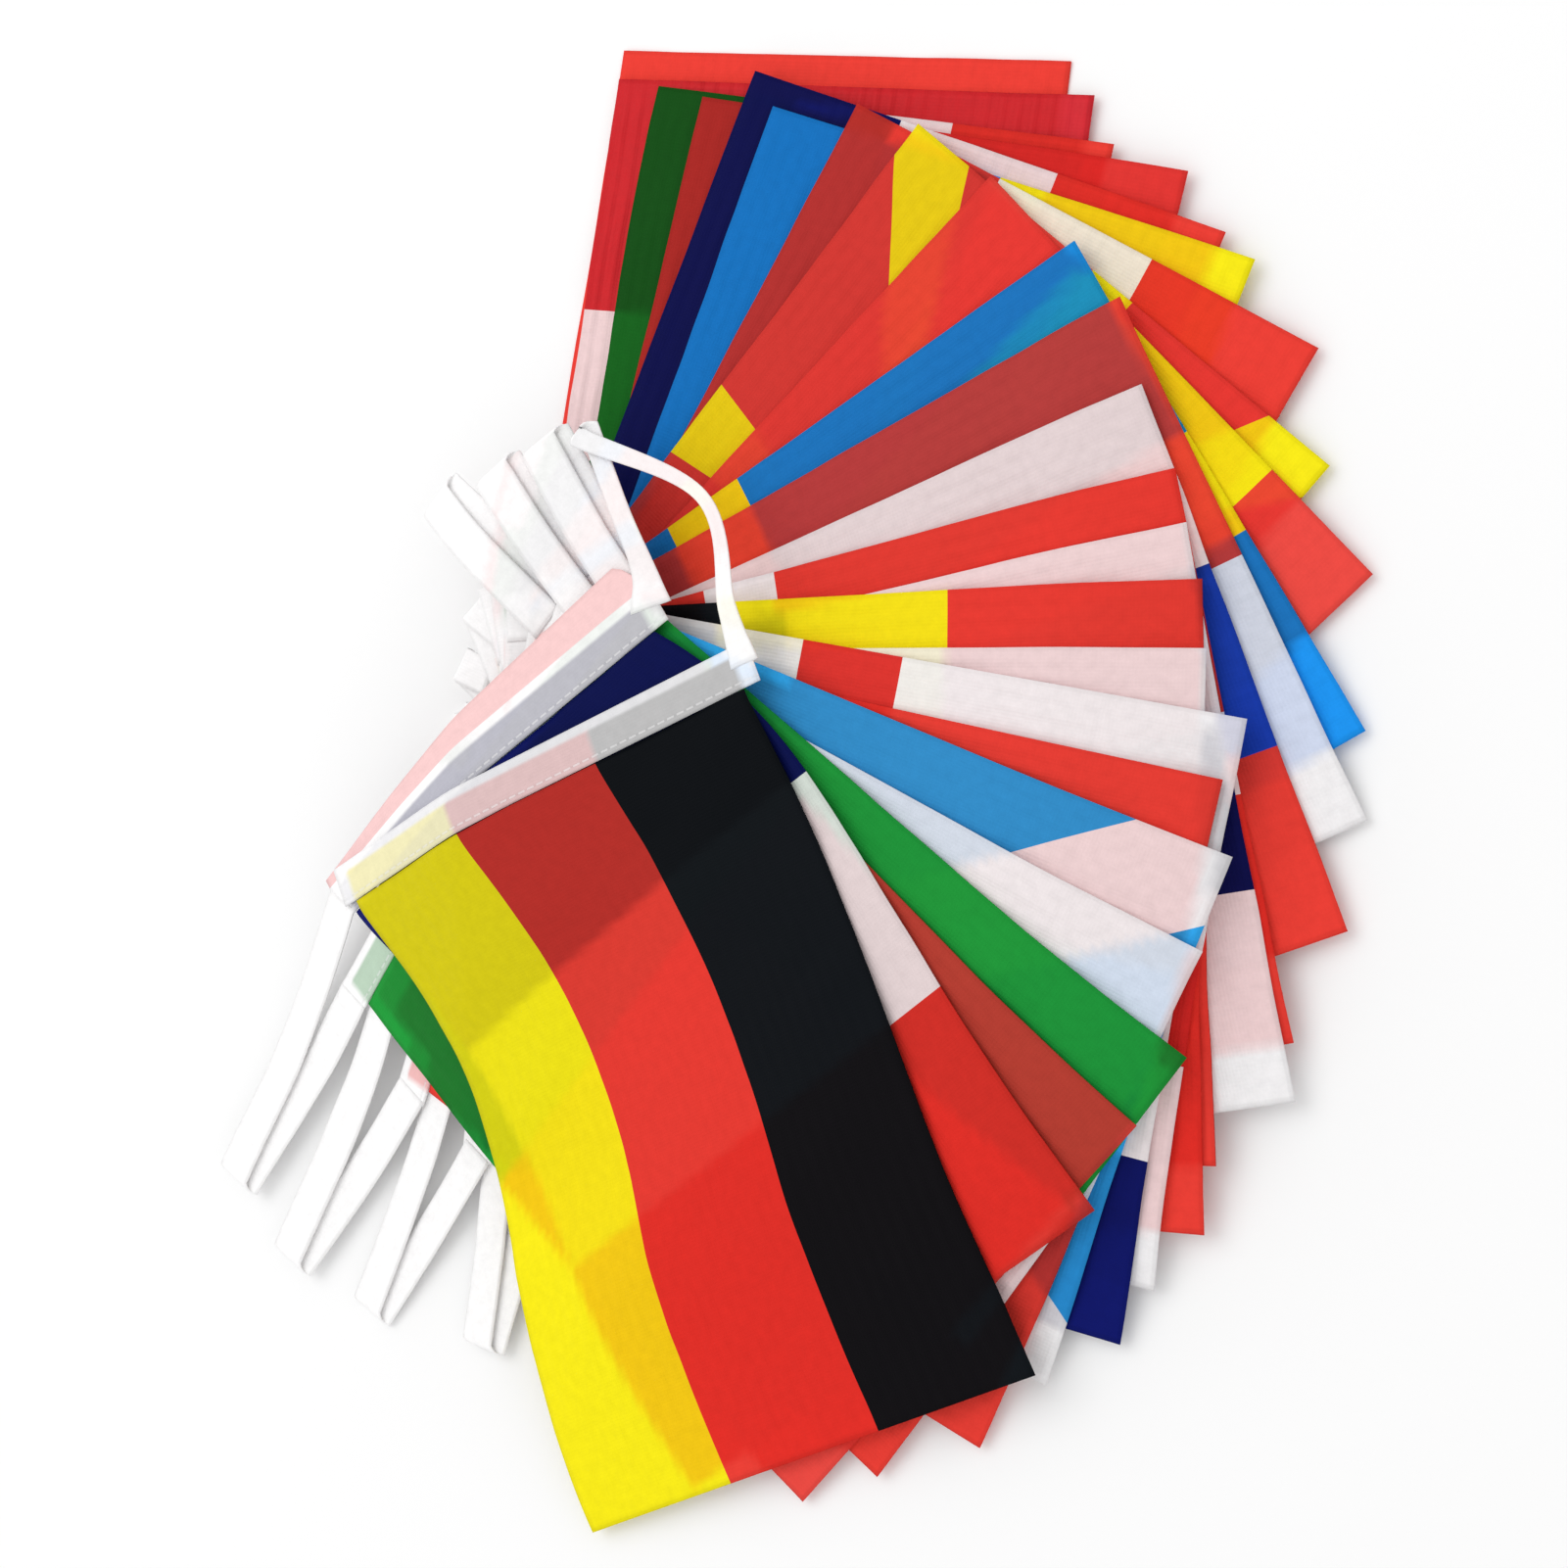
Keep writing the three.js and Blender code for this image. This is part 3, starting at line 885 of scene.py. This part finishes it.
def curve_through(line):
    """A smooth line through the points: each step is a cubic with slopes from its neighbours."""
    line = np.asarray(line, float)
    if len(line) == 2:
        count = max(3, int(np.linalg.norm(line[1] - line[0]) / TAPE_STEP) + 1)
        return line[0] + np.linspace(0, 1, count)[:, None] * (line[1] - line[0])
    ends = np.vstack([2 * line[0] - line[1], line, 2 * line[-1] - line[-2]])
    found = [line[:1]]
    for p0, p1, p2, p3 in zip(ends[:-3], ends[1:-2], ends[2:-1], ends[3:]):
        count = max(3, int(np.linalg.norm(p2 - p1) / TAPE_STEP))
        t = np.linspace(0, 1, count + 1)[1:, None]
        near, far = (p2 - p0) / 2, (p3 - p1) / 2
        a, b = 2 * p1 - 2 * p2 + near + far, 3 * p2 - 3 * p1 - 2 * near - far
        found.append(a * t**3 + b * t**2 + near * t + p1)
    return np.vstack(found)


def ribbon(line, widths, layer):
    """A run of tape: points to both sides of a line, as wide as given, a little above the layer."""
    path = curve_through(np.column_stack([line, widths]))
    path, width = path[:, :2], path[:, 2]
    way = np.gradient(path, axis=0)
    way /= np.linalg.norm(way, axis=1, keepdims=True)
    left = np.stack([-way[:, 1], way[:, 0]], axis=1)
    side = np.linspace(-0.5, 0.5, TAPE_ROWS) * width[:, None]
    plan = path[:, None, :] + side[..., None] * left[:, None, :]
    return plan, laid_on(layer, plan, RUN_PASSES) + RUN_RISE


def fold_between(low_plan, low_z, up_plan, up_z, way):
    """The fold at the tip: rows from the last one below to the first one above, bowed outwards."""
    t = np.linspace(0, 1, FOLD_ROWS + 2)[1:-1, None]
    plan = (1 - t)[..., None] * low_plan[-1] + t[..., None] * up_plan[0]
    plan = plan + FOLD_OUT * np.sin(math.pi * t)[..., None] * way
    z = low_z[-1] + (up_z[0] - low_z[-1]) * (1 - np.cos(math.pi * t)) / 2
    return plan, z


def free_run(upper):
    """The tape between two flags: out on the lower layer, round the fold, back on the upper one."""
    low_line, up_line, width = JOINTS[upper]
    low_wide, up_wide = TAPER.get(upper, ([width] * len(low_line), [width] * len(up_line)))
    way = low_line[-1] - low_line[0]
    way = way / np.linalg.norm(way)
    left = np.array([-way[1], way[0]])
    upper_side = np.sign((up_line[-1] - low_line[0]) @ left)
    apart = SPREAD / 2 * upper_side * left if upper in LOOPS else 0 * left
    side = passing_side(upper)
    ends = [on_flag(n, TAPE / 2, heading_end(n, side) + side * TAB / 2) for n in (upper + 1, upper)]
    low_line = np.vstack([ends[0], low_line[1:-1], low_line[-1] - apart])
    up_line = np.vstack([up_line[0] + apart, up_line[1:-1], ends[1]])
    low_plan, low_z = ribbon(low_line, low_wide, upper + 1)
    up_plan, up_z = ribbon(up_line, up_wide, upper)
    up_plan, up_z = up_plan[:, ::-1], up_z[:, ::-1]
    fold_plan, fold_z = fold_between(low_plan, low_z, up_plan, up_z, way)
    plan = np.concatenate([low_plan, fold_plan, up_plan])
    z = np.concatenate([low_z, fold_z, up_z])
    seen_low = soft_below(min(upper + 2, COUNT), low_plan, TAPE_STEP)
    seen_fold = np.broadcast_to(FLOOR, (*fold_z.shape, 3))
    seen_up = soft_below(upper + 1, up_plan, TAPE_STEP)
    below = 1 - FREE_SHOWS * (1 - np.concatenate([seen_low, seen_fold, seen_up]))
    steps = np.linalg.norm(np.diff(plan.mean(axis=1), axis=0), axis=1)
    length = np.r_[0, np.cumsum(steps)]
    over_width = RUN_UV + np.linspace(0, width, TAPE_ROWS)
    uv = np.stack(np.broadcast_arrays(length[:, None], over_width), axis=-1)
    return plan, z, below, uv


runs = [free_run(n) for n in range(COUNT - 1)]
print("free runs:", len(runs), "points in the largest:", max(grid[1].size for grid in runs))

# %% [markdown]
# One mesh of tape
#
# The tape is one length of one material. All its headings and free runs are grids of points, and
# they go into one mesh. Its area over its width is the length that a maker would cut.

# %% One mesh of tape
TAPE_CLOTH = 0.4

points, faces, tints, uvs, total = [], [], [], [], 0
for plan, z, below, uv in headings + runs:
    points.append(centred(plan, z))
    faces.append(grid_faces(*z.shape, total))
    tints.append(below.reshape(-1, 3))
    uvs.append(uv.reshape(-1, 2))
    total += z.size
tape_mesh = make_mesh("tape", *(np.concatenate(part) for part in (points, faces, uvs, tints)))
tape = bpy.data.objects.new("tape", tape_mesh)
bpy.context.collection.objects.link(tape)
add_thickness(tape, TAPE_CLOTH)

# %% [markdown]
# The tape's finish
#
# The tape is soft white polyester, and what lies below shows through it. A row of small stitches
# runs along the heading, a little inside its inner edge, and holds the cloth. The UV map is in
# millimetres here: along the tape, and across it from that edge. Free runs start at 20 mm
# across, so they get no stitches.

# %% The tape's finish
STITCH = 3.0
STITCH_IN = 1.6
STITCH_HALF_WIDTH = 0.28
STITCH_SHARE = 0.72
STITCH_OWN = 0.2
# How far the whole stitch line is mixed toward grey: painted shade along the seam.
SEAM_SHADE = 0.10
TAPE_DEPTH = 0.12

tape_paint, tree = new_material("white polyester tape")
place = add(tree, "ShaderNodeUVMap", {"uv_map": "UVMap"})
parts = add(tree, "ShaderNodeSeparateXYZ", Vector=place)
across = parts.outputs[1]
seam_line = add(tree, MATHS, {"operation": "COMPARE"}, _0=across, _1=STITCH_IN, _2=STITCH_HALF_WIDTH)
steps = add(tree, MATHS, {"operation": "DIVIDE"}, _0=parts, _1=STITCH)
beat = add(tree, MATHS, {"operation": "FRACT"}, _0=steps)
stitched = add(tree, MATHS, {"operation": "LESS_THAN"}, _0=beat, _1=STITCH_SHARE)
stitch = add(tree, MATHS, {"operation": "MULTIPLY"}, _0=seam_line, _1=stitched)
# Painted shade: the whole stitch line is mixed a tenth of the way to grey, for the shade in the shallow
# furrow that the stitches pull into the tape.
seam_shade = add(tree, MATHS, {"operation": "MULTIPLY"}, _0=seam_line, _1=SEAM_SHADE)
own = add(tree, MATHS, {"operation": "MULTIPLY_ADD"}, _0=stitch, _1=STITCH_OWN, _2=OWN_TAPE)
shaded = add(tree, MIX, MIXED, _0=seam_shade, _6=rgba(TAPE_COLOUR), _7=rgba("8c8c90")).outputs[2]
woven = weave_bump(tree, place, TAPE_DEPTH)
raised = add(tree, BUMP, Strength=0.6, Distance=0.0003, Height=stitch, Normal=woven)
surface = add(
    tree,
    "ShaderNodeBsdfPrincipled",
    Base_Color=tinted(tree, shaded, place, own),
    Roughness=0.55,
    IOR=1.5,
    Specular_IOR_Level=0.3,
    Normal=raised,
)
add(tree, "ShaderNodeOutputMaterial", Surface=surface)
tape_mesh.materials.append(tape_paint)
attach(tape, "root")
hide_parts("tape")
print("tape finished")
